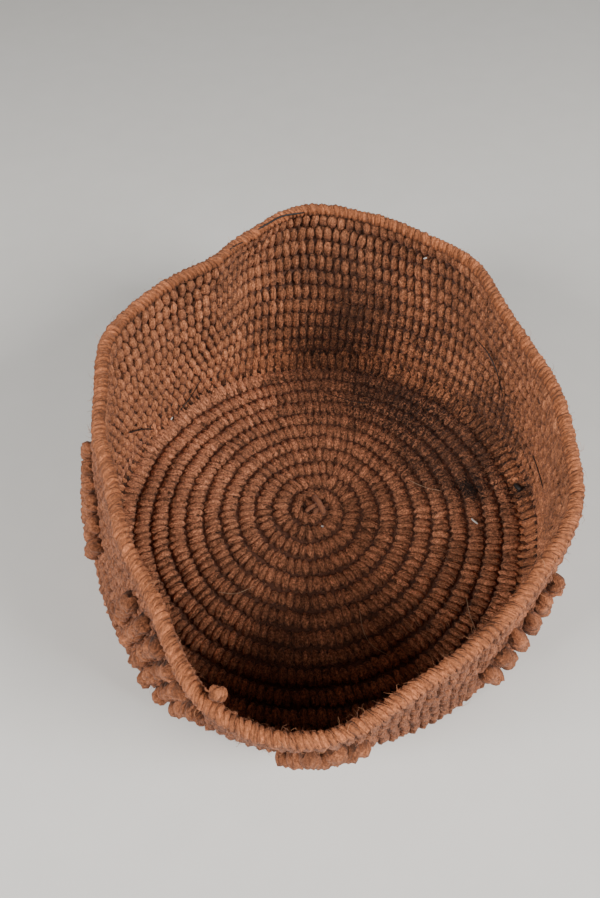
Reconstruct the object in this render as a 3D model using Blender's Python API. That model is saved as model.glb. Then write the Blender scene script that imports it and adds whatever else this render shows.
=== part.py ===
"""Woven fibre headdress: a looped cap lying on its crown with its mouth up.

Units are metres, +Z is up. The origin is on the floor, under the middle of the cap's outline.
The cap is described by its meridians: the line that the inside of the fabric follows from the
middle of the crown, out over the corner and up the wall, one meridian for each direction.
"""

import bmesh
import bpy
from math import asin, ceil, cos, pi, radians, sin
from mathutils import Matrix, Vector

# The cap's own sizes
CROWN_REACH = 0.0840        # along the fabric, from the crown's middle to the middle of the corner
WALL_SLANT = 0.0728         # along the fabric, from the middle of the corner to the wall's top
FABRIC = 0.0048             # thickness of the looped fabric
CORNER_LENGTH = 0.0123      # stretch of fabric that bends from the crown into the wall
CROWN_DISH = 0.0064         # how far the middle of the crown is pushed in
REST_PRESS = 0.0004         # how much the underside is flattened where the cap rests
SEAM_GAP = 0.0003           # clearance between neighbouring pieces

# The edge course round the mouth
RIM_WIDTH = 0.0055
RIM_HEIGHT = 0.0047

# The knobs on the outside of the wall
KNOB_WIDTH = 0.0054
KNOB_REACH = 0.0042         # how far a knob stands out from the wall
KNOB_SPACING = 0.0072       # along a row
KNOB_ROW = 0.0080           # from one row to the next, up the wall
KNOB_MIDDLE = 0.0345        # height of a group's longest row, along the wall above the corner
# Columns: how far out as a share of KNOB_REACH, half-width as a share of KNOB_WIDTH
KNOB_FORM = ((-0.24, 0.42), (0.45, 0.5), (0.9, 0.27))

# The small knots
START_KNOT_LENGTH = 0.0086
START_KNOT_WIDTH = 0.0056
START_KNOT_HEIGHT = 0.0044
START_KNOT_CUT = 0.6        # where its flat underside is, as a share of the way down from its middle
END_KNOT_WIDTH = 0.0048
END_KNOT_DIRECTION = 256.0
END_KNOT_SHOULDER = 135.0   # its place round the edge course's section, 180 is the inner side

# How finely the fabric is divided
COLUMNS = 72
LINE_STEP = 0.0003
FLOOR_STOPS = 20
RIM_SIDES = 8
KNOB_SIDES = 6
KNOT_DIVISIONS = 2
SHARP_ANGLE = 50.0

# The wall's form, a row for each direction. Directions count from +X towards +Y.
# Columns: direction in degrees, corner's distance as a share of CROWN_REACH,
# the wall's lean at its foot, halfway up and at its top in degrees from level (over 90 leans
# inwards).
WALL_FORM = (
    (0, 1.031, 90, 101, 98),
    (15, 1.045, 93, 103, 101),
    (30, 1.032, 96, 99, 102),
    (45, 1.02, 90, 90, 102),
    (60, 1.034, 97, 85, 103),
    (75, 1.023, 101, 80, 98),
    (90, 0.992, 95, 76, 106),
    (105, 0.958, 88, 86, 123),
    (120, 0.932, 101, 98, 110),
    (135, 0.932, 100, 100, 102),
    (150, 0.929, 103, 99, 99),
    (165, 0.934, 105, 97, 101),
    (180, 0.96, 102, 103, 103),
    (195, 0.965, 105, 103, 101),
    (210, 0.975, 104, 103, 102),
    (225, 0.995, 99, 99, 100),
    (240, 1.02, 94, 94, 94),
    (255, 1.03, 80, 80, 80),
    (270, 1.03, 76, 76, 77),
    (285, 1.03, 83, 83, 84),
    (300, 1.025, 87, 87, 88),
    (315, 1.02, 90, 90, 91),
    (330, 1.015, 91, 91, 92),
    (345, 1.021, 91, 98, 94),
)

# The groups of knobs, lozenges of staggered rows.
# Columns: direction of the group's middle in degrees, knobs in its longest row, rows above
# and below that one. The four from 191 to 315 degrees show in the photograph.
KNOB_GROUPS = (
    (34, 3, 2),
    (74, 3, 2),
    (114, 3, 2),
    (157, 3, 2),
    (191, 6, 2),
    (236, 6, 3),
    (271, 4, 2),
    (315, 6, 2),
    (354, 3, 2),
)

# Where the crown's meridians are cut into rings, as shares of the way to the corner's start,
# and where the wall's are, as shares of the way from the corner's end to the wall's top
CROWN_RINGS = (0.22, 0.48, 0.74)
WALL_RINGS = (0.0, 0.2, 0.4, 0.6, 0.8, 1.0)
CORNER_RINGS = 3            # rings in each half of the corner
REST_RING = 0.0064          # width of the flattened ring that the cap rests on
REST_INSIDE = 0.6           # its share that lies inside the corner's start


def clear_scene():
    for thing in list(bpy.data.objects):
        bpy.data.objects.remove(thing, do_unlink=True)


def fibre_material(name, colour, roughness):
    material = bpy.data.materials.new(name)
    material.use_nodes = True
    shader = material.node_tree.nodes["Principled BSDF"]
    shader.inputs["Base Color"].default_value = (*colour, 1.0)
    shader.inputs["Roughness"].default_value = roughness
    shader.inputs["Metallic"].default_value = 0.0
    material.diffuse_color = (*colour, 1.0)
    return material


def smooth_between(before, start, end, after, part):
    """A value part of the way from start to end, on a smooth curve through four values."""
    rise = end - before
    bend = 2 * before - 5 * start + 4 * end - after
    turn = 3 * start - before - 3 * end + after
    return start + (rise + (bend + turn * part) * part) * part / 2


def form_at(direction):
    """WALL_FORM's corner share and its three leans in any direction."""
    place = (direction % 360.0) / 360.0 * len(WALL_FORM)
    row = int(place)
    rows = [WALL_FORM[(row + k) % len(WALL_FORM)][1:] for k in (-1, 0, 1, 2)]
    return [smooth_between(*values, place - row) for values in zip(*rows)]


def corner_middle(direction):
    corner, foot, halfway, top = form_at(direction)
    return CROWN_REACH * corner


def corner_start(direction):
    return corner_middle(direction) - CORNER_LENGTH / 2


def corner_end(direction):
    return corner_middle(direction) + CORNER_LENGTH / 2


def wall_top():
    return CROWN_REACH + WALL_SLANT


def lean_at(direction, along):
    """The fabric's angle from level at a distance along its meridian."""
    start = corner_start(direction)
    dish = -asin(CROWN_DISH / start)
    bend = min(max((along - start) / CORNER_LENGTH, 0.0), 1.0)
    bend = bend * bend * (3 - 2 * bend)
    middle = corner_middle(direction)
    up = max((along - middle) / (wall_top() - middle), 0.0)
    corner, foot, halfway, top = form_at(direction)
    bulge = halfway - (foot + top) / 2
    wall = foot + (top - foot) * up + bulge * 4 * up * (1 - min(up, 1.0))
    return dish * (1 - bend) + radians(wall) * bend


def meridian(direction, stops):
    """Radius, height and lean of the fabric's inside at each distance in stops."""
    line = []
    radius = height = along = 0.0
    for stop in stops:
        steps = max(1, ceil((stop - along) / LINE_STEP))
        step = (stop - along) / steps
        for _ in range(steps):
            lean = lean_at(direction, along + step / 2)
            radius += cos(lean) * step
            height += sin(lean) * step
            along += step
        line.append((radius, height, lean_at(direction, stop)))
    return line


def column_directions():
    return [360.0 * k / COLUMNS for k in range(COLUMNS)]


def floor_level():
    """Height of the floor, under the lowest line of the fabric's outside."""
    lowest = 0.0
    for direction in column_directions():
        inner = corner_start(direction) - REST_RING
        stops = [inner + 2 * REST_RING * k / FLOOR_STOPS for k in range(FLOOR_STOPS + 1)]
        for radius, height, lean in meridian(direction, stops):
            lowest = min(lowest, height - FABRIC * cos(lean))
    return lowest + REST_PRESS


FLOOR = floor_level()


def point_on(direction, radius, height):
    turn = radians(direction)
    return Vector((radius * cos(turn), radius * sin(turn), height - FLOOR))


def fabric_point(direction, radius, height, lean, depth):
    """A point at a depth into the fabric, 0 on its inside and FABRIC on its outside."""
    point = point_on(direction, radius + depth * sin(lean), height - depth * cos(lean))
    point.z = max(point.z, 0.0)
    return point


def bridge(bm, lower, upper):
    for k in range(len(lower)):
        n = (k + 1) % len(lower)
        bm.faces.new((lower[k], lower[n], upper[n], upper[k]))


def close_middle(bm, ring, middle):
    for k in range(len(ring)):
        bm.faces.new((ring[k], middle, ring[(k + 1) % len(ring)]))


def finish_object(name, bm, material):
    bmesh.ops.recalc_face_normals(bm, faces=bm.faces)
    mesh = bpy.data.meshes.new(name)
    bm.to_mesh(mesh)
    bm.free()
    mesh.materials.append(material)
    mesh.shade_smooth()
    mesh.set_sharp_from_angle(angle=radians(SHARP_ANGLE))
    thing = bpy.data.objects.new(name, mesh)
    bpy.context.scene.collection.objects.link(thing)
    return thing


def fabric_rings(bm, stops_of, depth):
    """Rings of vertices at one depth in the fabric, one ring for each stop."""
    columns = [meridian(direction, stops_of(direction)) for direction in column_directions()]
    rings = []
    for stop in range(len(columns[0])):
        ring = []
        for direction, column in zip(column_directions(), columns):
            ring.append(bm.verts.new(fabric_point(direction, *column[stop], depth)))
        rings.append(ring)
    return rings


def crown_stops(direction):
    start = corner_start(direction)
    end = corner_middle(direction) - SEAM_GAP / 2
    rest_from = start - REST_RING * REST_INSIDE
    rest_to = rest_from + REST_RING
    stops = [share * start for share in CROWN_RINGS]
    stops += [rest_from, start, rest_to]
    stops += [rest_to + (end - rest_to) * k / CORNER_RINGS for k in range(1, CORNER_RINGS + 1)]
    return stops


def build_crown(material):
    bm = bmesh.new()
    inside = fabric_rings(bm, crown_stops, 0.0)
    outside = fabric_rings(bm, crown_stops, FABRIC)
    for rings in (inside, outside):
        for lower, upper in zip(rings, rings[1:]):
            bridge(bm, lower, upper)
    bridge(bm, inside[-1], outside[-1])
    close_middle(bm, inside[0], bm.verts.new(point_on(0, 0, 0)))
    close_middle(bm, outside[0], bm.verts.new(point_on(0, 0, -FABRIC)))
    return finish_object("crown", bm, material)


def wall_stops(direction):
    foot = corner_middle(direction) + SEAM_GAP / 2
    end = corner_end(direction)
    stops = [foot + (end - foot) * k / CORNER_RINGS for k in range(CORNER_RINGS)]
    stops += [end + (wall_top() - end) * share for share in WALL_RINGS]
    return stops


def build_wall(material):
    bm = bmesh.new()
    inside = fabric_rings(bm, wall_stops, 0.0)
    outside = fabric_rings(bm, wall_stops, FABRIC)
    for rings in (inside, outside):
        for lower, upper in zip(rings, rings[1:]):
            bridge(bm, lower, upper)
    bridge(bm, inside[0], outside[0])
    bridge(bm, inside[-1], outside[-1])
    return finish_object("side_wall", bm, material)


def knob_places():
    """Direction and distance along the meridian of every knob."""
    places = []
    for middle, longest, spread in KNOB_GROUPS:
        for row in range(-spread, spread + 1):
            count = longest - abs(row)
            along = corner_middle(middle) + KNOB_MIDDLE + row * KNOB_ROW
            radius = meridian(middle, [along])[0][0] + FABRIC
            pitch = KNOB_SPACING / radius * 180 / pi
            for k in range(count):
                places.append((middle + (k - (count - 1) / 2) * pitch, along))
    return places


def add_knob(bm, direction, along):
    """A rounded knob standing out from the wall."""
    radius, height, lean = meridian(direction, [along])[0]
    seat = fabric_point(direction, radius, height, lean, FABRIC)
    turn = radians(direction)
    out = Vector((cos(turn) * sin(lean), sin(turn) * sin(lean), -cos(lean)))
    side = Vector((-sin(turn), cos(turn), 0.0))
    up = out.cross(side)
    rings = []
    for reach, width in KNOB_FORM:
        middle = seat + out * (KNOB_REACH * reach)
        ring = []
        for k in range(KNOB_SIDES):
            angle = 2 * pi * k / KNOB_SIDES
            offset = side * cos(angle) + up * sin(angle)
            ring.append(bm.verts.new(middle + offset * (KNOB_WIDTH * width)))
        rings.append(ring)
    for lower, upper in zip(rings, rings[1:]):
        bridge(bm, lower, upper)
    bm.faces.new(rings[0])
    close_middle(bm, rings[-1], bm.verts.new(seat + out * KNOB_REACH))


def build_knobs(material):
    bm = bmesh.new()
    for direction, along in knob_places():
        add_knob(bm, direction, along)
    knobs = finish_object("wall_knobs", bm, material)
    knobs.hide_render = True
    knobs.display_type = "WIRE"
    return knobs


def fuse(thing, added):
    union = thing.modifiers.new("knobs", "BOOLEAN")
    union.operation = "UNION"
    union.solver = "EXACT"
    union.object = added


def rim_frame(direction):
    """Middle of the wall's top edge, with the ways up along the wall and out through it."""
    radius, height, lean = meridian(direction, [wall_top()])[0]
    middle = fabric_point(direction, radius, height, lean, FABRIC / 2)
    turn = radians(direction)
    up = Vector((cos(turn) * cos(lean), sin(turn) * cos(lean), sin(lean)))
    out = Vector((cos(turn) * sin(lean), sin(turn) * sin(lean), -cos(lean)))
    return middle, up, out


def build_rim(material):
    """The edge course: a half-round roll seated on the wall's top."""
    bm = bmesh.new()
    sections = []
    for direction in column_directions():
        middle, up, out = rim_frame(direction)
        section = []
        for k in range(RIM_SIDES):
            angle = pi * k / (RIM_SIDES - 1)
            across = cos(angle) * RIM_WIDTH / 2
            above = SEAM_GAP + sin(angle) * RIM_HEIGHT
            section.append(bm.verts.new(middle + out * across + up * above))
        sections.append(section)
    for section, following in zip(sections, sections[1:] + sections[:1]):
        bridge(bm, section, following)
    return finish_object("rim_edge", bm, material)


def build_start_knot(material):
    """The knot at the crown's middle, a low lump on its flat underside."""
    seat = point_on(0, 0, 0) + Vector((0, 0, SEAM_GAP))
    bm = bmesh.new()
    bmesh.ops.create_icosphere(bm, subdivisions=KNOT_DIVISIONS, radius=1)
    for vertex in bm.verts:
        above = (max(vertex.co.z, -START_KNOT_CUT) + START_KNOT_CUT) / (1 + START_KNOT_CUT)
        vertex.co = seat + Vector((vertex.co.x * START_KNOT_LENGTH / 2,
                                   vertex.co.y * START_KNOT_WIDTH / 2, above * START_KNOT_HEIGHT))
    return finish_object("start_knot", bm, material)


def build_end_knot(material):
    """The nub where the yarn ends, on the inner shoulder of the edge course."""
    middle, up, out = rim_frame(END_KNOT_DIRECTION)
    shoulder = radians(END_KNOT_SHOULDER)
    off = END_KNOT_WIDTH / 2 + SEAM_GAP
    across = cos(shoulder) * (RIM_WIDTH / 2 + off)
    above = SEAM_GAP + sin(shoulder) * (RIM_HEIGHT + off)
    bm = bmesh.new()
    bmesh.ops.create_icosphere(bm, subdivisions=KNOT_DIVISIONS, radius=END_KNOT_WIDTH / 2)
    bmesh.ops.translate(bm, verts=bm.verts, vec=middle + out * across + up * above)
    return finish_object("yarn_end_knot", bm, material)


def centre_on_origin(things):
    """Move everything so that the outline's middle is over the origin."""
    corners = [vertex.co for thing in things for vertex in thing.data.vertices]
    middle = Vector((0, 0, 0))
    for axis in (0, 1):
        values = [corner[axis] for corner in corners]
        middle[axis] = (min(values) + max(values)) / 2
    for thing in things:
        thing.data.transform(Matrix.Translation(-middle))


def build_headdress():
    clear_scene()
    yarn = fibre_material("wall_yarn", (0.34, 0.15, 0.075), 0.82)
    crown_yarn = fibre_material("crown_yarn", (0.24, 0.11, 0.06), 0.85)
    edge_yarn = fibre_material("edge_yarn", (0.55, 0.26, 0.14), 0.7)
    knot_yarn = fibre_material("knot_yarn", (0.38, 0.18, 0.10), 0.8)
    crown = build_crown(crown_yarn)
    wall = build_wall(yarn)
    knobs = build_knobs(yarn)
    rim = build_rim(edge_yarn)
    start_knot = build_start_knot(knot_yarn)
    end_knot = build_end_knot(knot_yarn)
    centre_on_origin([crown, wall, knobs, rim, start_knot, end_knot])
    fuse(wall, knobs)


build_headdress()
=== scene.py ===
from math import pi, radians

import bmesh
import bpy
import numpy as np
from mathutils import Matrix, Vector


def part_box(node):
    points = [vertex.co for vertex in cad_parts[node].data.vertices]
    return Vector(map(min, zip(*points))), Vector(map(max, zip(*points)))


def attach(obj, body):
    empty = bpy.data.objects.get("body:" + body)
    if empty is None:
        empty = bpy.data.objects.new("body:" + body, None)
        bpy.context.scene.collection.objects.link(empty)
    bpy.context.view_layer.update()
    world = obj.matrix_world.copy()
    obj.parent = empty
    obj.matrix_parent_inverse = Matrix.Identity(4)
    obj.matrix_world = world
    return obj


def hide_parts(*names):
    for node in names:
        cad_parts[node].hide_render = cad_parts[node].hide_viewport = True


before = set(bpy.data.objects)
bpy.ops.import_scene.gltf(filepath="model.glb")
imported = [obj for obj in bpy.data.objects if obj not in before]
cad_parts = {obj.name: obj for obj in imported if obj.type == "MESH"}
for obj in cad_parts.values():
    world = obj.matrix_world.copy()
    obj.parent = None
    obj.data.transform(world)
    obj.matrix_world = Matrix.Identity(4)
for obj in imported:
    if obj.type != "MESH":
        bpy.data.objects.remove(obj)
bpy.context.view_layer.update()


# The stage: a plain pale floor that the cap lies on, soft studio lamps, and the camera at the
# photograph's angle above the open mouth.
knot_low, knot_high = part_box("start_knot")
knot_clearance = 0.0003
crown_middle = Vector(((knot_low.x + knot_high.x) / 2, (knot_low.y + knot_high.y) / 2,
                       knot_low.z - knot_clearance))


def place(thing):
    """Puts an object in the scene."""
    bpy.context.scene.collection.objects.link(thing)
    return thing


def add(tree, kind, inputs=None, **settings):
    """A node with its settings. Each input is given a value, or is joined to another node's output."""
    made = tree.nodes.new(kind)
    for name, value in settings.items():
        setattr(made, name, value)
    for key, value in (inputs or {}).items():
        if isinstance(value, bpy.types.NodeSocket):
            tree.links.new(value, made.inputs[key])
        else:
            made.inputs[key].default_value = value
    return made


def bare_material(name, roughness):
    """A new material with its node tree and its shader."""
    material = bpy.data.materials.new(name)
    material.use_nodes = True
    tree = material.node_tree
    shader = tree.nodes["Principled BSDF"]
    shader.inputs["Roughness"].default_value = roughness
    return material, tree, shader


floor_reach = 1.6
floor_mesh = bpy.data.meshes.new("floor")
floor_mesh.from_pydata([(-floor_reach, -floor_reach, 0), (floor_reach, -floor_reach, 0),
                        (floor_reach, floor_reach, 0), (-floor_reach, floor_reach, 0)],
                       [], [(0, 1, 2, 3)])
floor = place(bpy.data.objects.new("floor", floor_mesh))
floor_material, tree, shader = bare_material("pale_floor", 0.9)
grain = add(tree, "ShaderNodeTexNoise", {"Vector": add(tree, "ShaderNodeTexCoord").outputs["Object"],
                                         "Scale": 60.0, "Detail": 4.0})
paint = add(tree, "ShaderNodeMix", {"Factor": grain.outputs["Fac"]}, data_type="RGBA")
paint.inputs["A"].default_value = (0.60, 0.59, 0.57, 1.0)
paint.inputs["B"].default_value = (0.64, 0.63, 0.61, 1.0)
tree.links.new(paint.outputs["Result"], shader.inputs["Base Color"])
floor_mesh.materials.append(floor_material)

camera_data = bpy.data.cameras.new("camera")
camera_data.sensor_width = 36.0
camera_data.lens = 30.45
camera_data.clip_start = 0.01
camera = place(bpy.data.objects.new("camera", camera_data))
camera_right = Vector((0.99971405, -0.00666068, -0.02296651))
camera_up = Vector((0.0189907, 0.8047981, 0.59324478))
camera_offset = Vector((0, -0.15980, 0.25497))
camera_turn = Matrix((camera_right, camera_up, camera_right.cross(camera_up))).transposed().to_4x4()
camera.matrix_world = Matrix.Translation(crown_middle + camera_offset) @ camera_turn
bpy.context.scene.camera = camera


lamp_colour = (1.0, 0.98, 0.95)
lamps_face = Vector((0, 0, 0.04))


def softbox(name, position, size, energy):
    """A square lamp that faces the cap."""
    lamp = bpy.data.lights.new(name, "AREA")
    lamp.size = size
    lamp.energy = energy
    lamp.color = lamp_colour
    thing = place(bpy.data.objects.new(name, lamp))
    thing.location = position
    thing.rotation_euler = (lamps_face - Vector(position)).to_track_quat("-Z", "Y").to_euler()


softbox("left_lamp", (-0.72, -0.45, 0.62), 0.40, 11.4)
softbox("right_lamp", (0.72, -0.40, 0.62), 0.40, 14.2)
softbox("front_lamp", (0.0, -0.62, 0.76), 0.30, 3.3)
world = bpy.data.worlds.new("studio")
world.use_nodes = True
surroundings = world.node_tree.nodes["Background"]
surroundings.inputs["Color"].default_value = (1.0, 0.99, 0.97, 1.0)
surroundings.inputs["Strength"].default_value = 0.10
bpy.context.scene.world = world


# The crown: a flat round of looped plant-fibre yarn with soot settled in it, one long spiral of
# courses. The fabric's form is the line that its inside follows out from the crown's middle,
# over the corner and up the wall, one line for each direction.
crown_reach = 0.0840
wall_slant = 0.0728
fabric = 0.0048
corner_length = 0.0123
crown_dish = 0.0064
# Columns: the corner's distance as a share of crown_reach, the wall's lean at its foot, halfway
# up and at its top in degrees from level. A row for each 15 degrees from +X towards +Y.
wall_form = np.array((
    (1.031, 90, 101, 98), (1.045, 93, 103, 101), (1.032, 96, 99, 102), (1.02, 90, 90, 102),
    (1.034, 97, 85, 103), (1.023, 101, 80, 98), (0.992, 95, 76, 106), (0.958, 88, 86, 123),
    (0.932, 101, 98, 110), (0.932, 100, 100, 102), (0.929, 103, 99, 99), (0.934, 105, 97, 101),
    (0.96, 102, 103, 103), (0.965, 105, 103, 101), (0.975, 104, 103, 102), (0.995, 99, 99, 100),
    (1.02, 94, 94, 94), (1.03, 80, 80, 80), (1.03, 76, 76, 77), (1.03, 83, 83, 84),
    (1.025, 87, 87, 88), (1.02, 90, 90, 91), (1.015, 91, 91, 92), (1.021, 91, 98, 94)))
form_directions = 720
form_step = 0.00025
form_stops = 720


def smooth_between(before, start, end, after, part):
    """A value on the smooth curve from start to end, at a part of the way from 0 to 1."""
    bend = 2 * before - 5 * start + 4 * end - after
    swing = 3 * start - before - 3 * end + after
    return start + ((end - before) + (bend + swing * part) * part) * part / 2


def form_lines():
    """Radius, height and lean of the fabric's inside for each direction and stop."""
    turn = np.arange(form_directions) / form_directions * len(wall_form)
    row = turn.astype(int)
    part = (turn - row)[:, None]
    values = smooth_between(*(wall_form[(row + k) % len(wall_form)] for k in (-1, 0, 1, 2)), part)
    middle = values[:, :1] * crown_reach
    foot, halfway, top = (np.radians(values[:, k:k + 1]) for k in (1, 2, 3))
    bulge = halfway - (foot + top) / 2
    start = middle - corner_length / 2

    def lean_at(stops):
        bend = np.clip((stops - start) / corner_length, 0, 1)
        bend = bend * bend * (3 - 2 * bend)
        up = np.maximum((stops - middle) / (crown_reach + wall_slant - middle), 0)
        wall = foot + (top - foot) * up + bulge * 4 * up * (1 - np.minimum(up, 1))
        return -np.arcsin(crown_dish / start) * (1 - bend) + wall * bend

    stops = np.arange(form_stops) * form_step
    lean = lean_at(stops[1:] - form_step / 2)
    origin = np.zeros((form_directions, 1))
    radius = np.hstack((origin, np.cumsum(np.cos(lean), 1) * form_step))
    height = np.hstack((origin, np.cumsum(np.sin(lean), 1) * form_step))
    return np.stack((radius, height, lean_at(stops)), 2)


fabric_lines = form_lines()


def on_fabric(direction, along, depth):
    """Points at a depth in the fabric, 0 on its inside, with the ways out through it and up along it."""
    turn = direction / (2 * pi) * form_directions
    stop = along / form_step
    turn_from, stop_from = np.floor(turn).astype(int), np.floor(stop).astype(int)
    turn_part, stop_part = (turn - turn_from)[:, None], (stop - stop_from)[:, None]
    value = 0
    for k, weight in ((0, 1 - turn_part), (1, turn_part)):
        line = (turn_from + k) % form_directions
        value = value + weight * (fabric_lines[line, stop_from] * (1 - stop_part)
                                  + fabric_lines[line, stop_from + 1] * stop_part)
    radius, height, lean = value.T
    across = np.stack((np.cos(direction), np.sin(direction), np.zeros_like(direction)), 1)
    level = np.array((0, 0, 1.0))
    out = across * np.sin(lean)[:, None] - level * np.cos(lean)[:, None]
    up = across * np.cos(lean)[:, None] + level * np.sin(lean)[:, None]
    points = across * radius[:, None] + level * height[:, None] + out * np.reshape(depth, (-1, 1))
    points = points + np.array(crown_middle)
    points[:, 2] = np.maximum(points[:, 2], 0.0)
    return points, out, up


course_width = 0.0070
course_start = 0.32
last_course_drop = 0.0010


def course_direction(course):
    """The spiral's direction when it is so many courses out from the crown's middle."""
    return -2 * pi * (course - course_start)


def course_along(course):
    """Its distance along the fabric. The last course lies low, so that the edge course covers its end."""
    return np.minimum(course * course_width, crown_reach + wall_slant - last_course_drop)


noise_waves = 6
noise_peak = 2.6


def smooth_noise(values, wavelength, seed):
    """A wandering value from about -1 to 1 along a row of distances."""
    random = np.random.default_rng(seed)
    total = np.zeros_like(values)
    for wave in range(noise_waves):
        turns = values * 2 * pi / (wavelength * random.uniform(0.6, 1.9))
        total += np.sin(turns + random.uniform(0, 2 * pi))
    return total / noise_peak


def course_stretch(courses, depth):
    """How much wider a course is at a depth in the fabric, where it goes round the corner."""
    ends = [on_fabric(course_direction(courses), course_along(courses + side), depth)[0]
            for side in (-0.5, 0.5)]
    widths = np.linalg.norm(ends[1] - ends[0], axis=1)
    full = np.maximum(course_along(courses + 0.5) - course_along(courses - 0.5), course_width * 0.5)
    return np.clip(widths / full - 1, 0, 1)


def seat_points(name, points, edges, ways):
    """An object of bare points, each with the way that what is set there faces."""
    mesh = bpy.data.meshes.new(name)
    mesh.from_pydata(points, edges, [])
    face_way = mesh.attributes.new("face_way", "FLOAT_VECTOR", "POINT")
    face_way.data.foreach_set("vector", np.ravel(ways).astype(np.float32))
    return place(bpy.data.objects.new(name, mesh))


inside, outside = -1, 1
fine_course_step = 0.0006
line_spacing = 0.0012
side_wavelength, depth_wavelength = 0.021, 0.013
depth_wander = 0.4
# Where a course is stretched round the corner, its stitches change with the stretch. Outside they get
# longer and thicker. Inside they get longer and flatter, and their layer rises.
# Columns: share of the stretch that the length takes, share that the depth takes.
corner_growth = {outside: (0.7, 0.5), inside: (1.2, -1.8)}
growth_limits = (-0.3, 0.6)
corner_rise = 0.0045
full_rise_stretch = 0.16


def course_line(name, first, last, depth, facing, wander, seed, shift=0.0):
    """An open line along the spiral courses, with the way that its stitches face.

    shift moves it outwards, in courses, so that 0.5 follows the valley between two courses.
    """
    courses = np.arange(first, last, fine_course_step)
    points, out, up = on_fabric(course_direction(courses), course_along(courses), depth)
    lengths = np.concatenate(((0,), np.cumsum(np.linalg.norm(np.diff(points, axis=0), axis=1))))
    spots = np.arange(0, lengths[-1], line_spacing)
    courses = np.interp(spots, lengths, courses)
    stretch = course_stretch(courses, depth)
    aside = course_along(courses + shift) + smooth_noise(spots, side_wavelength, seed) * wander
    layer = depth + smooth_noise(spots, depth_wavelength, seed + 1) * wander * depth_wander
    if facing == inside:
        layer = layer - np.minimum(stretch, full_rise_stretch) * corner_rise
    points, out, up = on_fabric(course_direction(courses), aside, layer)
    edges = [(k, k + 1) for k in range(len(points) - 1)]
    line = seat_points(name, points.tolist(), edges, out * facing)
    for label, share in zip(("extra_length", "extra_depth"), corner_growth[facing]):
        extra = line.data.attributes.new(label, "FLOAT", "POINT")
        extra.data.foreach_set("value", np.clip(stretch * share, *growth_limits).astype(np.float32))
    return line


def new_tree(name, sockets):
    """A geometry tree with its inputs."""
    tree = bpy.data.node_groups.new(name, "GeometryNodeTree")
    tree.interface.new_socket("Geometry", in_out="INPUT", socket_type="NodeSocketGeometry")
    for label, kind in sockets:
        tree.interface.new_socket(label, in_out="INPUT", socket_type="NodeSocket" + kind)
    tree.interface.new_socket("Geometry", in_out="OUTPUT", socket_type="NodeSocketGeometry")
    return tree, tree.nodes.new("NodeGroupInput").outputs


def random_value(tree, seed, number, lowest, highest):
    """A random number or vector for each point, between two limits."""
    vector = isinstance(lowest, tuple)
    made = add(tree, "FunctionNodeRandomValue", data_type="FLOAT_VECTOR" if vector else "FLOAT")
    limits = [socket for socket in made.inputs if socket.enabled and socket.name in ("Min", "Max")]
    limits[0].default_value, limits[1].default_value = lowest, highest
    shifted = add(tree, "ShaderNodeMath", {0: seed, 1: float(number)}, operation="ADD")
    tree.links.new(shifted.outputs[0], made.inputs["Seed"])
    return [socket for socket in made.outputs if socket.enabled][0]


def maths(tree, operation, *values):
    """The result of one sum on numbers or on other nodes' outputs."""
    return add(tree, "ShaderNodeMath", dict(enumerate(values)), operation=operation).outputs[0]


def vector_maths(tree, operation, first, second):
    """The same on two vectors."""
    return add(tree, "ShaderNodeVectorMath", {0: first, 1: second}, operation=operation).outputs[0]


def xyz(tree, **parts):
    """A vector from its parts, 0 where one isn't given."""
    return add(tree, "ShaderNodeCombineXYZ", parts).outputs[0]


def store(tree, geometry, name, value, data_type="FLOAT", domain="POINT"):
    """Keeps a value under a name on each point or instance."""
    return add(tree, "GeometryNodeStoreNamedAttribute", {"Geometry": geometry, "Name": name, "Value": value},
               data_type=data_type, domain=domain).outputs[0]


def stored(tree, name, data_type="FLOAT"):
    """The value that the points keep under a name, 0 where there is none."""
    kept = add(tree, "GeometryNodeInputNamedAttribute", {"Name": name}, data_type=data_type)
    return kept.outputs["Attribute"]


def turned(tree, turn, angles):
    """A rotation with a further turn about its own axes."""
    further = add(tree, "FunctionNodeEulerToRotation", {0: angles}).outputs[0]
    return add(tree, "FunctionNodeRotateRotation", {0: turn, 1: further}, rotation_space="LOCAL").outputs[0]


def mix_colour(tree, factor, first, second, blend="MIX"):
    """A mix of two colours, each a value or another node's output."""
    made = add(tree, "ShaderNodeMix", data_type="RGBA", blend_type=blend)
    for socket, value in zip((made.inputs["Factor"], made.inputs["A"], made.inputs["B"]),
                             (factor, first, second)):
        if isinstance(value, bpy.types.NodeSocket):
            tree.links.new(value, socket)
        else:
            socket.default_value = value
    return made.outputs["Result"]


def remap(tree, value, low, high, to_low=0.0, to_high=1.0):
    """A value taken from one range to another, held at its ends."""
    return add(tree, "ShaderNodeMapRange", {"Value": value, "From Min": low, "From Max": high,
                                            "To Min": to_low, "To Max": to_high}).outputs["Result"]


roughening_scale = 520.0
# Far out sideways, so that only the height is held at the floor.
resting_limit = (-9.0, -9.0, 0.0)


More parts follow.
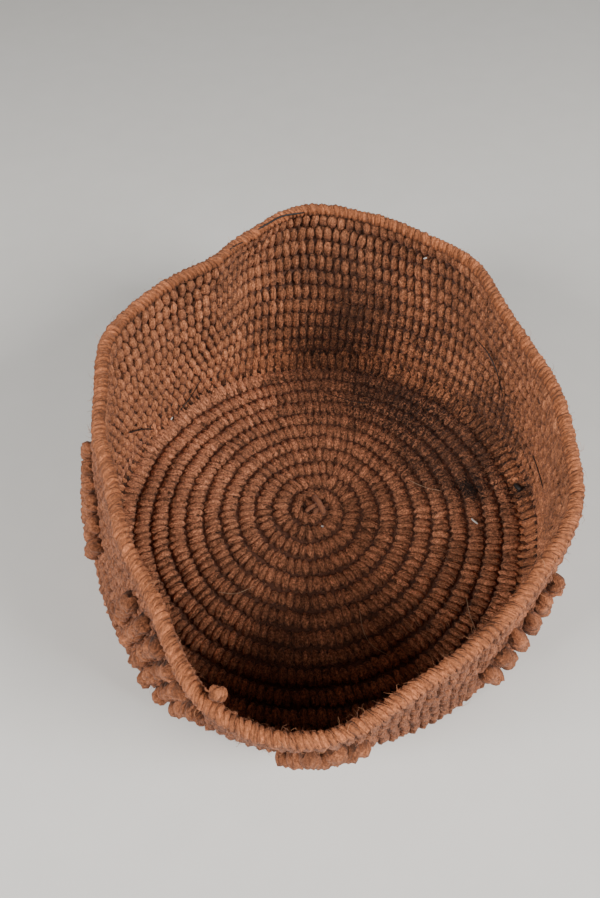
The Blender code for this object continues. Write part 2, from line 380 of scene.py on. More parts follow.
def finish_tree(tree, instances, inputs):
    """Realizes the instances, roughens and smooths them, rests them on the floor and gives the yarn."""
    realized = add(tree, "GeometryNodeRealizeInstances", {"Geometry": instances}).outputs["Geometry"]
    position = add(tree, "GeometryNodeInputPosition").outputs[0]
    noise = add(tree, "ShaderNodeTexNoise", {"Vector": position, "Scale": roughening_scale, "Detail": 1.0})
    centred = vector_maths(tree, "SUBTRACT", noise.outputs["Color"], (0.5, 0.5, 0.5))
    offset = add(tree, "ShaderNodeVectorMath", {0: centred, "Scale": inputs["Roughening"]},
                 operation="SCALE")
    moved = vector_maths(tree, "ADD", position, offset.outputs[0])
    rested = vector_maths(tree, "MAXIMUM", moved, resting_limit)
    moved = add(tree, "GeometryNodeSetPosition", {"Geometry": realized, "Position": rested})
    smooth = add(tree, "GeometryNodeSetShadeSmooth", {"Geometry": moved.outputs[0]})
    yarn = add(tree, "GeometryNodeSetMaterial", {"Geometry": smooth.outputs[0], "Material": inputs["Yarn"]})
    add(tree, "NodeGroupOutput", {"Geometry": yarn.outputs[0]})


smallest_share, largest_share = (0.88, 0.90, 0.84), (1.14, 1.08, 1.18)


def strand_tree(name, count, sides, broaden, strand_form, seats, lie):
    """Sets one strand of yarn again and again, each turned and sized a little differently.

    strand_form gives the strand's place, radius and darkening from grime and painted shade from 0 to 1
    along it, seats gives the points and the way that each strand faces, and lie is the most that one is
    turned at random.
    count and sides are the strand's points and the faces round it, and broaden its width to its depth.
    """
    tree, inputs = new_tree(name, (
        ("Spacing", "Float"), ("Width", "Float"), ("Length", "Float"), ("Height", "Float"),
        ("Slant", "Float"), ("Tip", "Float"), ("Roughening", "Float"), ("Seed", "Int"),
        ("Yarn", "Material")))
    line = add(tree, "GeometryNodeCurvePrimitiveLine", {"Start": (0, -0.5, 0), "End": (0, 0.5, 0)})
    line = add(tree, "GeometryNodeResampleCurve", {"Curve": line.outputs[0], "Count": count})
    factor = add(tree, "GeometryNodeSplineParameter").outputs["Factor"]
    middle, radius, grime_and_shade = strand_form(tree, factor)
    line = store(tree, line.outputs[0], "grime_and_shade", grime_and_shade)
    line = add(tree, "GeometryNodeSetPosition", {"Geometry": line, "Position": middle})
    ring = add(tree, "GeometryNodeCurvePrimitiveCircle", {"Resolution": sides, "Radius": 1.0})
    strand = add(tree, "GeometryNodeCurveToMesh",
                 {"Curve": line.outputs[0], "Profile Curve": ring.outputs["Curve"], "Scale": radius,
                  "Fill Caps": True})
    strand = add(tree, "GeometryNodeTransform",
                 {"Geometry": strand.outputs[0], "Scale": (broaden, 1.0, 1.0)})
    place_on = add(tree, "GeometryNodeInputPosition").outputs[0]
    strand = store(tree, strand.outputs[0], "strand", place_on, "FLOAT_VECTOR")
    points, turn = seats(tree, inputs)
    lying = random_value(tree, inputs["Seed"], 1, tuple(-most for most in lie), lie)
    slanted = xyz(tree, X=inputs["Tip"], Z=inputs["Slant"])
    turn = turned(tree, turn, vector_maths(tree, "ADD", lying, slanted))
    length = maths(tree, "MULTIPLY_ADD", inputs["Length"], stored(tree, "extra_length"), inputs["Length"])
    height = maths(tree, "MULTIPLY_ADD", inputs["Height"], stored(tree, "extra_depth"), inputs["Height"])
    size = vector_maths(tree, "MULTIPLY", xyz(tree, X=inputs["Width"], Y=length, Z=height),
                        random_value(tree, inputs["Seed"], 2, smallest_share, largest_share))
    strands = add(tree, "GeometryNodeInstanceOnPoints",
                  {"Points": points, "Instance": strand, "Rotation": turn, "Scale": size})
    shade = random_value(tree, inputs["Seed"], 3, 0.0, 1.0)
    strands = store(tree, strands.outputs[0], "shade", shade, domain="INSTANCE")
    finish_tree(tree, strands, inputs)
    return tree


def along_a_course(tree, inputs):
    """Points at an even spacing along the course, with the way that the course faces."""
    course = add(tree, "GeometryNodeMeshToCurve", {"Mesh": inputs["Geometry"]})
    course = add(tree, "GeometryNodeResampleCurve",
                 {"Curve": course.outputs[0], "Length": inputs["Spacing"]}, mode="LENGTH")
    ahead = add(tree, "GeometryNodeInputTangent").outputs[0]
    turn = add(tree, "FunctionNodeAxesToRotation", {0: stored(tree, "face_way", "FLOAT_VECTOR"), 1: ahead},
               primary_axis="Z", secondary_axis="X")
    return course.outputs[0], turn.outputs[0]


def out_from_middle(tree, factor):
    """0 at a strand's middle and 1 at both its ends."""
    return maths(tree, "ABSOLUTE", maths(tree, "MULTIPLY_ADD", factor, 2.0, -1.0))


def plump_stitch(tree, factor):
    """A grain-like stitch, blunt at its foot, with both ends drawn down into the valleys."""
    outwards = out_from_middle(tree, factor)
    arch = maths(tree, "MULTIPLY", maths(tree, "POWER", outwards, 2.6), -0.72)
    middle = xyz(tree, Y=maths(tree, "MULTIPLY_ADD", factor, 0.44, -0.22), Z=arch)
    radius = maths(tree, "MULTIPLY_ADD", maths(tree, "POWER", outwards, 2.2), -0.28, 0.5)
    radius = maths(tree, "MULTIPLY", radius, remap(tree, factor, 0.4, 1.0, 1.0, 0.80))
    # Darker towards both ends, where they dip into the valleys: grime and painted shade. The top end is
    # darker than the foot as painted shade, for light that falls from the front and above.
    grime_and_shade = maths(tree, "POWER", outwards, 1.8)
    grime_and_shade = maths(tree, "MULTIPLY", grime_and_shade, remap(tree, factor, 0.0, 1.0, 0.7, 1.2))
    return middle, radius, grime_and_shade


def apply_tree(thing, tree, values):
    """Runs a node tree on an object and leaves it as the plain mesh that the tree makes."""
    modifier = thing.modifiers.new(tree.name, "NODES")
    modifier.node_group = tree
    for item in tree.interface.items_tree:
        if item.in_out == "INPUT" and item.name in values:
            modifier[item.identifier] = values[item.name]
    graph = bpy.context.evaluated_depsgraph_get()
    mesh = bpy.data.meshes.new_from_object(thing.evaluated_get(graph))
    thing.modifiers.clear()
    old = thing.data
    thing.data = mesh
    bpy.data.meshes.remove(old)
    mesh.name = thing.name


def keep_piece(thing, slot, *nodes):
    """Rides a finished piece on the part's body, in place of its nodes."""
    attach(thing, "root")
    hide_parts(*nodes)


def add_bump(tree, shader, height, distance, strength):
    """Fine relief on a shader."""
    bump = add(tree, "ShaderNodeBump", {"Height": height, "Distance": distance, "Strength": strength})
    tree.links.new(bump.outputs[0], shader.inputs["Normal"])


def set_sheen(shader, weight):
    """The soft light that loose fibres catch."""
    shader.inputs["Sheen Weight"].default_value = weight
    shader.inputs["Sheen Roughness"].default_value = 0.5


# The near-black of the patches of soot and painted shade.
soot_and_shade_colour = (0.012, 0.008, 0.007, 1.0)


def yarn_material(name, light, dark, soot_and_shade, stretch=(1.0, 0.30, 1.0), contrast=0.16, fleck=0.35):
    """Looped plant fibre: fibre lines and a ply groove on each stitch, the groove painted darker as shade,
    grime and painted shade at the stitch's ends, painted shade at its sides, and patches of soot and painted
    shade.

    light and dark are its fibres, each patch of soot and painted shade has a middle, reach and strength,
    stretch draws the fibre lines out along the strand, contrast is the tone that grime and painted shade
    leave at a stitch's ends and sides, fleck the specks' strength.
    """
    material, tree, shader = bare_material(name, 0.85)
    place_at = add(tree, "ShaderNodeTexCoord").outputs["Object"]
    strand = add(tree, "ShaderNodeAttribute", attribute_name="strand").outputs["Vector"]
    shade = add(tree, "ShaderNodeAttribute", attribute_name="shade").outputs["Fac"]
    grime_and_shade = add(tree, "ShaderNodeAttribute", attribute_name="grime_and_shade").outputs["Fac"]
    twisted = add(tree, "ShaderNodeMapping", {"Vector": strand, "Rotation": (0, 0, 0.45), "Scale": stretch})
    fibres = add(tree, "ShaderNodeTexNoise",
                 {"Vector": twisted.outputs[0], "W": maths(tree, "MULTIPLY", shade, 40.0), "Scale": 11.0,
                  "Detail": 3.0, "Roughness": 0.7}, noise_dimensions="4D").outputs["Fac"]
    # A thin ply line down the stitch, painted darker as shade in the groove, and sunk by the bump.
    aside = add(tree, "ShaderNodeSeparateXYZ", {0: twisted.outputs[0]}).outputs["X"]
    wandered = maths(tree, "MULTIPLY_ADD", maths(tree, "SUBTRACT", shade, 0.5), 0.5, aside)
    groove = remap(tree, maths(tree, "ABSOLUTE", wandered), 0.0, 0.07)
    # Darker towards the stitch's sides, as painted shade between neighbouring stitches, and towards its ends
    # with the strand's grime and painted shade.
    across = maths(tree, "ABSOLUTE", add(tree, "ShaderNodeSeparateXYZ", {0: strand}).outputs["X"])
    edge = maths(tree, "MULTIPLY_ADD", maths(tree, "POWER", across, 2.0), 2.2, grime_and_shade)
    edge = remap(tree, edge, 0.15, 0.95)
    patches = add(tree, "ShaderNodeTexNoise",
                  {"Vector": place_at, "Scale": 38.0, "Detail": 4.0, "Roughness": 0.6}).outputs["Fac"]
    specks = add(tree, "ShaderNodeTexNoise",
                 {"Vector": place_at, "Scale": 1100.0, "Detail": 3.0, "Roughness": 0.8}).outputs["Fac"]
    colour = mix_colour(tree, remap(tree, fibres, 0.37, 0.63), dark, light)
    tone = remap(tree, shade, 0.0, 1.0, 0.78, 1.18)
    for value, low, high, darkest, lightest in (
            (patches, 0.3, 0.7, 0.76, 1.12), (groove, 0.0, 1.0, 0.66, 1.0), (edge, 0.0, 1.0, 1.0, contrast),
            (specks, 0.36, 0.64, 1.0 - fleck, 1.0 + fleck)):
        tone = maths(tree, "MULTIPLY", tone, remap(tree, value, low, high, darkest, lightest))
    grey = add(tree, "ShaderNodeCombineColor", {"Red": tone, "Green": tone, "Blue": tone}).outputs[0]
    colour = mix_colour(tree, 1.0, colour, grey, "MULTIPLY")
    # Each patch darkens the colour towards near-black: soot with painted shade, since the patches lie in the
    # corners and where the walls cast shadow.
    for spot, reach, strength in soot_and_shade:
        away = add(tree, "ShaderNodeVectorMath", {0: place_at, 1: spot}, operation="DISTANCE")
        near = away.outputs["Value"]
        for grain, share in ((patches, 1.2), (specks, 2.4)):
            wander = maths(tree, "MULTIPLY", maths(tree, "SUBTRACT", grain, 0.5), reach * share)
            near = maths(tree, "ADD", near, wander)
        soot_and_shade_mask = remap(tree, near, reach * 0.3, reach, strength, 0.0)
        colour = mix_colour(tree, soot_and_shade_mask, colour, soot_and_shade_colour)
    tree.links.new(colour, shader.inputs["Base Color"])
    set_sheen(shader, 0.05)
    shader.inputs["Specular IOR Level"].default_value = 0.18
    relief = maths(tree, "MULTIPLY_ADD", groove, 0.6, maths(tree, "MULTIPLY_ADD", specks, 0.5, fibres))
    add_bump(tree, shader, relief, 0.0005, 1.0)
    return material


# Columns: the middle of a patch of soot and painted shade, its reach and its strength. These darken the
# crown's right side and its corner with the back wall.
shared_soot_and_shade = (
    ((0.034, 0.067, 0.007), 0.028, 0.75), ((0.056, 0.038, 0.006), 0.036, 0.66),
    ((0.016, 0.078, 0.030), 0.022, 0.40), ((0.081, 0.015, 0.007), 0.009, 0.80))
# The wide faint patch at the crown's front is painted shadow of the front wall.
crown_soot_and_shade = (((0.0605, 0.0165, 0.006), 0.007, 0.90), ((-0.012, -0.064, 0.010), 0.030, 0.30))
# Soot and painted shade in the corner where the crown meets the back wall.
corner_soot_and_shade = (((0.002, 0.080, 0.006), 0.030, 0.40),)
crown_yarn = yarn_material("crown_yarn_fibre", (0.62, 0.250, 0.130, 1.0), (0.24, 0.091, 0.046, 1.0),
                           shared_soot_and_shade + crown_soot_and_shade + corner_soot_and_shade, contrast=0.36, fleck=0.62)
stitches = strand_tree("looped_stitches", 7, 8, 1.0, plump_stitch, along_a_course, (0.10, 0.12, 0.12))


def lay_stitches(name, courses, depth, facing, wander, seeds, sizes, slot, node, shift=0.0):
    """A piece of stitches along some of the courses, with a seed for their line and one for themselves."""
    line = course_line(name, *courses, depth, facing, wander, seeds[0], shift)
    apply_tree(line, stitches, {**sizes, "Seed": seeds[1]})
    keep_piece(line, slot, node)
    return line


crown_start, first_round_end, crown_end = 0.12, 1.35, 11.9
crown_depth, crown_under_depth = 0.0014, 0.0016
loose_wander, tight_wander = 0.0003, 0.0002
crown_size = {"Spacing": 0.0031, "Width": 0.0037, "Length": 0.0063, "Height": 0.0030, "Slant": 0.16,
              "Tip": 0.10, "Roughening": 0.0018, "Yarn": crown_yarn}
first_size = {**crown_size, "Spacing": 0.0019, "Width": 0.0030, "Length": 0.0068, "Height": 0.0026,
              "Slant": 0.85}
lay_stitches("crown_first_stitches", (crown_start, first_round_end), crown_depth, inside, loose_wander,
             (13, 14), first_size, "crown_yarn", "crown")
crown_inside = lay_stitches("crown_stitches_inside", (first_round_end, crown_end), crown_depth, inside,
                            loose_wander, (11, 10), crown_size, "crown_yarn", "crown")
lay_stitches("crown_stitches_underneath", (crown_start, crown_end), fabric - crown_under_depth, outside,
             tight_wander, (17, 20), {**crown_size, "Tip": 0.0}, "crown_yarn", "crown")


def lace_rings(bm, rings, closed=False):
    """Faces from each ring of points to the next, and from the last to the first if it is closed."""
    rings = [[bm.verts.new(point) for point in ring] for ring in rings]
    following_rings = rings[1:] + rings[:1] if closed else rings[1:]
    for ring, following in zip(rings, following_rings):
        for k in range(len(ring)):
            n = (k + 1) % len(ring)
            bm.faces.new((ring[k], ring[n], following[n], following[k]))
    return rings


def tube(bm, points, out, up, half_out, half_up, sides, closed=False):
    """Sweeps an oval section along a line of points into the mesh."""
    turn = np.arange(sides) / sides * 2 * pi
    rings = (points[:, None] + out[:, None] * (np.cos(turn) * half_out)[:, None]
             + up[:, None] * (np.sin(turn) * half_up)[:, None])
    rings[..., 2] = np.maximum(rings[..., 2], 0.0)
    rings = lace_rings(bm, rings, closed)
    if not closed:
        bm.faces.new(rings[0])
        bm.faces.new(rings[-1])


def mesh_piece(name, bm, material):
    """The object of a built mesh, its faces pointing outwards."""
    bmesh.ops.recalc_face_normals(bm, faces=bm.faces)
    mesh = bpy.data.meshes.new(name)
    bm.to_mesh(mesh)
    bm.free()
    mesh.shade_smooth()
    mesh.materials.append(material)
    return place(bpy.data.objects.new(name, mesh))


middle_directions = 144
middle_inside, middle_outside = 0.0021, 0.0029
crown_middle_start = 0.0002


def dense_middle(name, first, last, count, material):
    """The fabric's dense middle that the stitches are laid over, between two stops along the fabric."""
    directions = np.arange(0, middle_directions) / middle_directions * 2 * pi
    stops = np.linspace(first, last, count)
    places = [(stop, middle_inside) for stop in stops] + [(stop, middle_outside) for stop in stops[::-1]]
    rings = [on_fabric(directions, np.full_like(directions, stop), depth)[0] for stop, depth in places]
    bm = bmesh.new()
    lace_rings(bm, rings, closed=True)
    return mesh_piece(name, bm, material)


def dirt_and_shade_core_material(name, light, dark):
    """The fibre that shows between the stitches, painted dark with dirt and with painted shade in the gaps.
    """
    material, tree, shader = bare_material(name, 0.95)
    place_at = add(tree, "ShaderNodeTexCoord").outputs["Object"]
    fibres = add(tree, "ShaderNodeTexNoise", {"Vector": place_at, "Scale": 700.0, "Detail": 4.0,
                                              "Roughness": 0.7}).outputs["Fac"]
    tree.links.new(mix_colour(tree, remap(tree, fibres, 0.3, 0.7), dark, light), shader.inputs["Base Color"])
    add_bump(tree, shader, fibres, 0.0005, 0.8)
    return material


# Dark core: dirt, with painted shade in the gaps between the crown's stitches.
crown_core_dirt_and_shade = dirt_and_shade_core_material("crown_core_fibre", (0.190, 0.073, 0.040, 1.0), (0.055, 0.021, 0.013, 1.0))
crown_core = dense_middle("crown_middle_layer", crown_middle_start, crown_reach, 22, crown_core_dirt_and_shade)
keep_piece(crown_core, "crown_yarn", "crown")


# The side wall: the same yarn looped on upwards from the crown's edge, about eleven courses of
# plump stitches that show on both faces. It has been pushed out of round, and rubbed lighter
# than the crown. Its last course runs out under the edge course.
wall_courses = (crown_end, 22.75)
wall_depth = 0.0013
# Columns: the middle of a patch of soot and painted shade, its reach and its strength. The two wide ones
# darken the back wall's lower middle.
wall_soot_and_shade = (
    ((0.014, 0.088, 0.034), 0.042, 0.50), ((0.002, 0.094, 0.066), 0.070, 0.22),
    ((0.058, 0.062, 0.050), 0.036, 0.30))
wall_yarn = yarn_material("wall_yarn_fibre", (0.64, 0.248, 0.117, 1.0), (0.25, 0.090, 0.042, 1.0),
                          shared_soot_and_shade + corner_soot_and_shade + wall_soot_and_shade, contrast=0.26, fleck=0.42)
# The wall's outside is painted darker than its inside as painted shade: the same yarn, with a shaded copy of
# its colours.
shaded_outside_yarn = yarn_material("outside_yarn_fibre", (0.40, 0.145, 0.067, 1.0), (0.16, 0.055, 0.026, 1.0), ())
wall_size = {"Spacing": 0.0036, "Width": 0.0035, "Length": 0.0068, "Height": 0.0030, "Slant": 0.06,
             "Tip": 0.0, "Roughening": 0.0016, "Yarn": wall_yarn}
wall_inside = lay_stitches("wall_stitches_inside", wall_courses, wall_depth, inside, tight_wander,
                           (31, 30), wall_size, "wall_yarn", "side_wall")
wall_outside = lay_stitches("wall_stitches_outside", wall_courses, fabric - wall_depth, outside,
                            tight_wander, (37, 40), {**wall_size, "Yarn": shaded_outside_yarn}, "wall_yarn",
                            "side_wall")
# Smaller stitches lie in the valleys where the courses spread round the corner.
valley = 0.5
valley_depth = 0.0020
inside_valleys, outside_valleys = (10.7, 12.5), (10.8, 12.4)
valley_size = {**wall_size, "Spacing": 0.0037, "Width": 0.0034, "Length": 0.0052, "Height": 0.0024}
under_size = {**valley_size, "Length": 0.0056, "Height": 0.0026, "Yarn": shaded_outside_yarn}
lay_stitches("corner_stitches_between", inside_valleys, valley_depth, inside, loose_wander,
             (43, 44), valley_size, "wall_yarn", "side_wall", valley)
lay_stitches("corner_stitches_underneath", outside_valleys, fabric - valley_depth, outside, loose_wander,
             (47, 48), under_size, "wall_yarn", "side_wall", valley)
# Darker core: dirt, with painted shade in the gaps between the wall's stitches.
wall_core_dirt_and_shade = dirt_and_shade_core_material("core_fibre", (0.120, 0.046, 0.025, 1.0), (0.030, 0.012, 0.008, 1.0))
wall_core = dense_middle("wall_middle_layer", crown_reach, crown_reach + wall_slant, 30, wall_core_dirt_and_shade)
keep_piece(wall_core, "wall_yarn", "side_wall")


# The knobs: bobbles of the same yarn worked into the outside of the wall in nine lozenges of
# staggered rows, each a small tangle of one strand drawn tight.
knob_width = 0.0054
knob_reach = 0.0042
knob_spacing = 0.0072
knob_row = 0.0080
knob_middle = 0.0345
knob_seat_height = knob_reach * 0.22
knot_width, knot_height = knob_width * 1.15, knob_width * 1.35
# Columns: direction of the group's middle in degrees, knobs in its longest row, rows above and
# below that one.
knob_groups = ((34, 3, 2), (74, 3, 2), (114, 3, 2), (157, 3, 2), (191, 6, 2), (236, 6, 3), (271, 4, 2),
               (315, 6, 2), (354, 3, 2))


def corner_at(degrees):
    """The corner's distance from the crown's middle along the fabric."""
    lines = np.append(wall_form[:, 0], wall_form[0, 0])
    degrees_apart = 360 / len(wall_form)
    return float(np.interp(degrees % 360, np.arange(len(lines)) * degrees_apart, lines)) * crown_reach


def knob_seats():
    """Points a little out from the wall's outside, with the way that each knob faces."""
    directions, alongs = [], []
    for middle, longest, spread in knob_groups:
        for row in range(-spread, spread + 1):
            count = longest - abs(row)
            along = corner_at(middle) + knob_middle + row * knob_row
            point = on_fabric(np.array((radians(middle),)), np.array((along,)), fabric)[0][0]
            pitch = knob_spacing / np.hypot(*(point - np.array(crown_middle))[:2])
            for k in range(count):
                directions.append(radians(middle) + (k - (count - 1) / 2) * pitch)
                alongs.append(along)
    points, out, up = on_fabric(np.array(directions) % (2 * pi), np.array(alongs), fabric + knob_seat_height)
    return seat_points("wall_knobs", points.tolist(), [], out)


def on_seats(tree, inputs):
    """The points themselves, each turned about the way that it faces."""
    turn = add(tree, "FunctionNodeAlignRotationToVector",
               {"Vector": stored(tree, "face_way", "FLOAT_VECTOR")}, axis="Z").outputs[0]
    spin = random_value(tree, inputs["Seed"], 4, 0.0, 2 * pi)
    return inputs["Geometry"], turned(tree, turn, xyz(tree, Z=spin))


knot_scale = (0.080, 0.080, 0.15)
knot_strand_radius = 0.29


def knotted_strand(tree, factor):
    """A strand in a threefold knot, its lower crossings, next to the wall, darker with grime and painted
    shade.
    """
    turn = maths(tree, "MULTIPLY", factor, 2 * pi)
    twice = maths(tree, "MULTIPLY", factor, 4 * pi)
    x = maths(tree, "MULTIPLY_ADD", maths(tree, "SINE", twice), 2.0, maths(tree, "SINE", turn))
    y = maths(tree, "MULTIPLY_ADD", maths(tree, "COSINE", twice), -2.0, maths(tree, "COSINE", turn))
    z = maths(tree, "SINE", maths(tree, "MULTIPLY", factor, -6 * pi))
    middle = vector_maths(tree, "MULTIPLY", xyz(tree, X=x, Y=y, Z=z), knot_scale)
    return middle, knot_strand_radius, remap(tree, z, 0.2, -1.0, 0.0, 0.8)


knob_yarn = yarn_material("knob_yarn_fibre", (0.40, 0.145, 0.066, 1.0), (0.19, 0.066, 0.030, 1.0), (),
                          stretch=(1.0, 1.0, 1.0), contrast=0.30)
knobs = knob_seats()
bobbles = strand_tree("knotted_bobbles", 36, 6, 1.0, knotted_strand, on_seats, (0.15, 0.15, 0.3))
apply_tree(knobs, bobbles, {"Width": knot_width, "Length": knot_width, "Height": knot_height,
                            "Roughening": 0.0006, "Seed": 50, "Yarn": knob_yarn})
keep_piece(knobs, "wall_yarn", "side_wall")


# The edge course: a smooth rope-like roll round the mouth, its stitches packed close over a core
# cord and wrapped from the inside right over the edge, rubbed pale by wear.
rim_width = 0.0055
rim_height = 0.0047
seam_gap = 0.0003
rim_along = crown_reach + wall_slant + seam_gap + rim_height - rim_width / 2
rim_spacing = 0.0019
rim_core_spacing = 0.0030
rim_core_radius = rim_width / 2 - 0.0009


def round_the_mouth(directions):
    """Points in the middle of the edge course, with the ways out and up."""
    return on_fabric(directions, np.full_like(directions, rim_along), fabric / 2)


def rim_points(spacing):
    """Evenly spaced points round the mouth, with the ways out through the wall and up along it."""
    directions = np.arange(0, 2 * pi, 0.004)
    points = round_the_mouth(directions)[0]
    closed = np.vstack((points, points[:1]))
    lengths = np.concatenate(((0,), np.cumsum(np.linalg.norm(np.diff(closed, axis=0), axis=1))))
    count = round(lengths[-1] / spacing)
    spots = np.arange(0, lengths[-1], lengths[-1] / count)[:count]
    return round_the_mouth(np.interp(spots, lengths, np.append(directions, 2 * pi)))


wrap_half_turn = 2.25
wrap_radius = 0.35
wrap_strand_radius = 0.15


def wrapped_stitch(tree, factor):
    """A strand bent over the edge, from low on one face to low on the other."""
    bend = maths(tree, "MULTIPLY_ADD", factor, 2 * wrap_half_turn, -wrap_half_turn)
    aside = maths(tree, "MULTIPLY", maths(tree, "SINE", bend), wrap_radius)
    rise = maths(tree, "MULTIPLY", maths(tree, "COSINE", bend), wrap_radius)
    # Darker at both ends, low on both faces where the wraps meet the wall: grime and painted shade.
    grime_and_shade = maths(tree, "POWER", out_from_middle(tree, factor), 4.0)
    return xyz(tree, Y=aside, Z=rise), wrap_strand_radius, grime_and_shade


edge_yarn = yarn_material("edge_yarn_fibre", (0.50, 0.170, 0.070, 1.0), (0.25, 0.085, 0.034, 1.0), (),
                          stretch=(1.0, 0.30, 0.30), contrast=0.35)
points, out, up = rim_points(rim_spacing)
loop = [(k, (k + 1) % len(points)) for k in range(len(points))]
rim_stitches = seat_points("edge_course_stitches", points.tolist(), loop, up)
wraps = strand_tree("wrapped_stitches", 11, 6, 3.33, wrapped_stitch, along_a_course, (0.10, 0.12, 0.16))
apply_tree(rim_stitches, wraps, {"Spacing": rim_spacing, "Width": 0.0023, "Length": 0.0049, "Height": 0.0049,
                                 "Slant": 0.50, "Tip": 0.0, "Roughening": 0.0009, "Seed": 60,
                                 "Yarn": edge_yarn})
keep_piece(rim_stitches, "edge_yarn", "rim_edge")
points, out, up = rim_points(rim_core_spacing)
bm = bmesh.new()
tube(bm, points, out, up, rim_core_radius, rim_core_radius, 10, closed=True)
# Darker than the edge course's yarn: dirt, with painted shade under the wrapped stitches.
edge_core_dirt_and_shade = dirt_and_shade_core_material("edge_core_fibre", (0.30, 0.11, 0.05, 1.0), (0.12, 0.045, 0.02, 1.0))
rim_core = mesh_piece("edge_course_core_cord", bm, edge_core_dirt_and_shade)
keep_piece(rim_core, "edge_yarn", "rim_edge")


# The start knot: the crossed ends of the yarn that the crown is begun with, two long ones and a
# short one, drawn tight in the middle of the spiral.
# A way that none of the strands follows, from which each strand's two sides are found.
free_way = (0.13, 0.21, 0.97)


def laid_strand(bm, stops, radius, sides=8, steps=10):
    """A round strand along a smooth curve through a few stops, thinner at both ends."""
    stops = np.array(stops, float)
    stops = np.vstack((2 * stops[0] - stops[1], stops, 2 * stops[-1] - stops[-2]))
    part = (np.arange(steps) / steps)[:, None]
    line = [smooth_between(*four, part) for four in zip(stops, stops[1:], stops[2:], stops[3:])]
    line = np.vstack(line + [stops[-2:-1]])
    ahead = np.gradient(line, axis=0)
    ahead /= np.linalg.norm(ahead, axis=1)[:, None]
    aside = np.cross(ahead, free_way)
    aside /= np.linalg.norm(aside, axis=1)[:, None]
    above = np.cross(aside, ahead)
    ends = np.linspace(-1, 1, len(line))
    thick = radius * np.sqrt(1 - 0.75 * np.abs(ends) ** 6)[:, None]
    tube(bm, line, aside * thick, above * thick, 1.0, 1.0, sides)


def over_crown(x, y, height):
    """A point over the crown's inside, from its middle, in millimetres."""
    direction = np.array((np.arctan2(y, x) % (2 * pi),))
    distance = np.array((np.hypot(x, y) / 1000,))
    return tuple(on_fabric(direction, distance, -height / 1000)[0][0])


def knot_material(name, light, dark):
    """Twisted yarn: slanting ply lines and fine fibres on the object's own coordinates."""
    material, tree, shader = bare_material(name, 0.85)
    place_at = add(tree, "ShaderNodeTexCoord").outputs["Object"]
    lines = add(tree, "ShaderNodeMapping",
                {"Vector": place_at, "Rotation": (0.4, 0.2, 0.9), "Scale": (1.0, 0.25, 1.0)})
    fibres = add(tree, "ShaderNodeTexNoise", {"Vector": lines.outputs[0], "Scale": 2600.0, "Detail": 3.0,
                                              "Roughness": 0.7}).outputs["Fac"]
    tree.links.new(mix_colour(tree, remap(tree, fibres, 0.3, 0.7), dark, light), shader.inputs["Base Color"])
    set_sheen(shader, 0.15)
    add_bump(tree, shader, fibres, 0.0004, 0.9)
    return material


knot_yarn = knot_material("knot_yarn_fibre", (0.50, 0.195, 0.095, 1.0), (0.17, 0.063, 0.031, 1.0))
# Columns: the yarn end's radius in metres, its stops over the crown in millimetres.
yarn_ends = (
    (0.0012, ((0.6, 4.2, 0.4), (1.2, 2.6, 1.9), (2.4, 0.2, 2.5), (3.7, -2.0, 1.8), (4.4, -3.6, 0.4))),
    (0.0009, ((-2.6, -2.4, 0.3), (-0.8, -1.0, 0.8), (1.6, 0.2, 0.9), (3.2, 1.6, 0.2))),
    (0.0008, ((0.6, -3.0, 0.2), (1.6, -2.0, 0.9), (2.9, -1.7, 0.2))))
bm = bmesh.new()
for radius, stops in yarn_ends:
    laid_strand(bm, [over_crown(*stop) for stop in stops], radius)
start_knot = mesh_piece("start_knot_ends", bm, knot_yarn)
keep_piece(start_knot, "knot_yarn", "start_knot")


# The yarn's end: tied off in a small nub of the edge course's yarn, a knot like the wall's knobs,
# on the inner shoulder of the edge course.
nub_low, nub_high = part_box("yarn_end_knot")
nub_size = 0.0050
nub_facing = (0.3, 0.9, 0.5)
nub = seat_points("yarn_end_nub", [tuple((nub_low + nub_high) / 2)], [], nub_facing)
tied_nub = strand_tree("tied_nub", 48, 10, 1.0, knotted_strand, on_seats, (0.1, 0.1, 0.1))
apply_tree(nub, tied_nub, {"Width": nub_size, "Length": nub_size, "Height": nub_size, "Roughening": 0.0004,
                           "Seed": 70, "Yarn": edge_yarn})
keep_piece(nub, "knot_yarn", "yarn_end_knot")


# The nap: fine broken fibres that stand up all over the stitches, as worn plant fibre does, most
# on the crown and fewest on the wall's outside.
def scattered(tree, inputs):
    """Points spread over the stitches, each turned at random about the surface's own way out.

    The tree's Spacing is here the number of points on a square metre.
    """
    spread = add(tree, "GeometryNodeDistributePointsOnFaces",
                 {"Mesh": inputs["Geometry"], "Density": inputs["Spacing"], "Seed": inputs["Seed"]})
    spin = random_value(tree, inputs["Seed"], 5, 0.0, 2 * pi)
    return spread.outputs["Points"], turned(tree, spread.outputs["Rotation"], xyz(tree, Z=spin))


def frayed_fibre(tree, factor):
    """A hair-thin bowed fibre, fixed at one end."""
    lift = maths(tree, "MULTIPLY", maths(tree, "SINE", maths(tree, "MULTIPLY", factor, 2.3)), 0.5)
    bow = maths(tree, "MULTIPLY", maths(tree, "POWER", factor, 2.0), 0.4)
    middle = xyz(tree, X=bow, Y=maths(tree, "SUBTRACT", factor, 0.1), Z=lift)
    return middle, remap(tree, factor, 0.0, 1.0, 0.026, 0.010), 0.0


def nap_material(name, light, dark):
    """Plain fibre, each its own tone between two colours."""
    material, tree, shader = bare_material(name, 0.7)
    shade = add(tree, "ShaderNodeAttribute", attribute_name="shade").outputs["Fac"]
    tree.links.new(mix_colour(tree, shade, dark, light), shader.inputs["Base Color"])
    return material


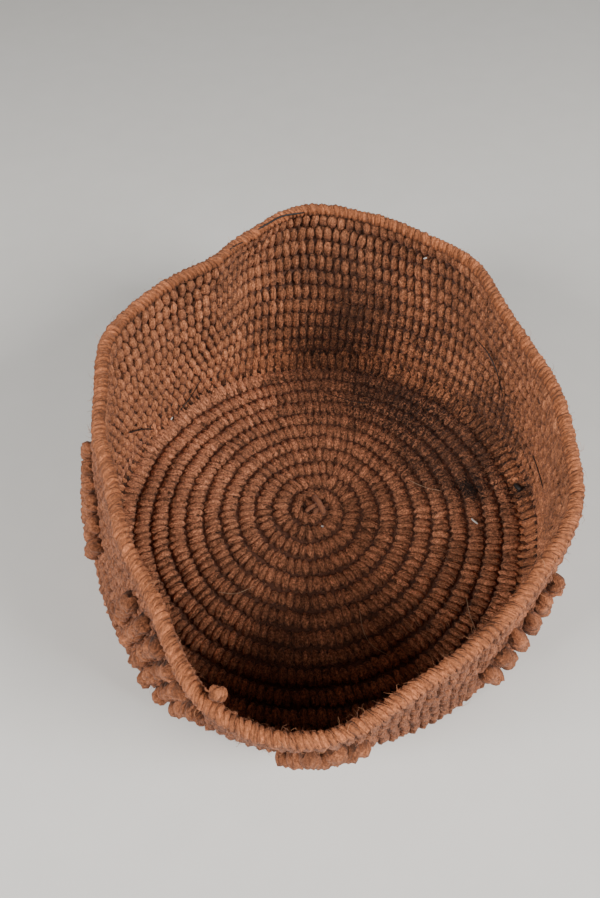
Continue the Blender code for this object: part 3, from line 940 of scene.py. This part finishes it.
nap = strand_tree("frayed_nap", 3, 3, 1.0, frayed_fibre, scattered, (0.5, 0.5, 0.0))
nap_yarn = nap_material("nap_fibre", (0.58, 0.25, 0.12, 1.0), (0.13, 0.048, 0.024, 1.0))
nap_size = {"Width": 0.0026, "Length": 0.0026, "Height": 0.0022, "Roughening": 0.0003, "Yarn": nap_yarn}
first_nap_seed = 80
for number, (source, node, slot, density) in enumerate((
        (crown_inside, "crown", "crown_yarn", 66000.0), (wall_inside, "side_wall", "wall_yarn", 36000.0),
        (wall_outside, "side_wall", "wall_yarn", 13000.0),
        (rim_stitches, "rim_edge", "edge_yarn", 45000.0))):
    fibres = place(bpy.data.objects.new(source.name.replace("stitches", "nap"), source.data.copy()))
    apply_tree(fibres, nap, {**nap_size, "Spacing": density, "Seed": first_nap_seed + number})
    keep_piece(fibres, slot, node)


# Loose bits: dark hairs and a dark crumb caught in the stitches, two dark fibres along the rim, a
# few pale fibres, and specks of white lint, each lying on the fabric.
def lying_on(places):
    """Points over the fabric's inside: direction in degrees, millimetres along, and millimetres over it."""
    return [tuple(on_fabric(np.array((radians(degrees),)), np.array((along / 1000,)), -lift / 1000)[0][0])
            for degrees, along, lift in places]


def plain_fibre_material(name, colour, roughness):
    """One colour, with a slightly darker grain."""
    material, tree, shader = bare_material(name, roughness)
    place_at = add(tree, "ShaderNodeTexCoord").outputs["Object"]
    grain = add(tree, "ShaderNodeTexNoise",
                {"Vector": place_at, "Scale": 1500.0, "Detail": 2.0}).outputs["Fac"]
    darker = tuple(part * 0.6 for part in colour[:3]) + (1.0,)
    tree.links.new(mix_colour(tree, grain, darker, colour), shader.inputs["Base Color"])
    return material


bit_fullness = 1.6
# Columns: thickness in metres, places along the piece.
dark_hairs = (
    (0.00045, ((164, 107.5, 1), (157, 98, 1), (150, 86, 1))),
    (0.00030, ((38, 130, 1), (32, 132, 1), (27, 128, 1), (24, 118, 1))),
    (0.00030, ((6, 112.5, 1), (0, 113.5, 1), (352, 120, 1))),
    (0.00160, ((8.5, 84.5, 0.6), (7.2, 85.3, 0.9), (6, 86.2, 0.7))),
    (0.00030, ((138, 80.5, 1), (133, 84, 1), (128, 94, 1))),
    (0.00018, ((58, 66, 1), (70, 60, 1), (84, 63, 1))),
    (0.00050, ((103.5, 161.6, -2.2), (100, 162.0, -1.6), (96, 161.9, -1.1), (90.5, 161.0, 0.0))),
    (0.00030, ((114, 161.8, -1.6), (111.5, 162.0, -1.4), (109, 161.7, -1.0))))
pale_hairs = (
    (0.00014, ((291, 46, 1), (289, 54, 1), (290, 60, 1), (294, 66, 1))),
    (0.00012, ((326, 68, 1), (322, 72, 1), (319, 77, 1))),
    (0.00012, ((18, 42, 1), (12, 47, 1), (9, 53, 1))),
    (0.00014, ((236, 40, 1), (231, 46, 1), (224, 50, 1))))
white_lint = (
    (0.00050, ((356, 63, 1), (355, 64, 1), (354, 65.5, 1))),
    (0.00040, ((59, 152, 1), (58, 153.5, 1))),
    (0.00050, ((290, 9.6, 1), (294, 10.4, 1))),
    (0.00035, ((142, 79.8, 1), (141, 80.6, 1))))
for name, bits, colour, roughness in (
        ("caught_dark_hairs", dark_hairs, (0.018, 0.014, 0.013, 1.0), 0.6),
        ("caught_pale_hairs", pale_hairs, (0.62, 0.40, 0.25, 1.0), 0.6),
        ("caught_lint", white_lint, (0.80, 0.78, 0.74, 1.0), 0.9)):
    bm = bmesh.new()
    for thickness, places in bits:
        laid_strand(bm, lying_on(places), thickness / 2 * bit_fullness, 5, 6)
    material = plain_fibre_material(name.replace("caught", "loose") + "_fibre", colour, roughness)
    hairs = mesh_piece(name, bm, material)
    keep_piece(hairs, "crown_yarn", "crown")
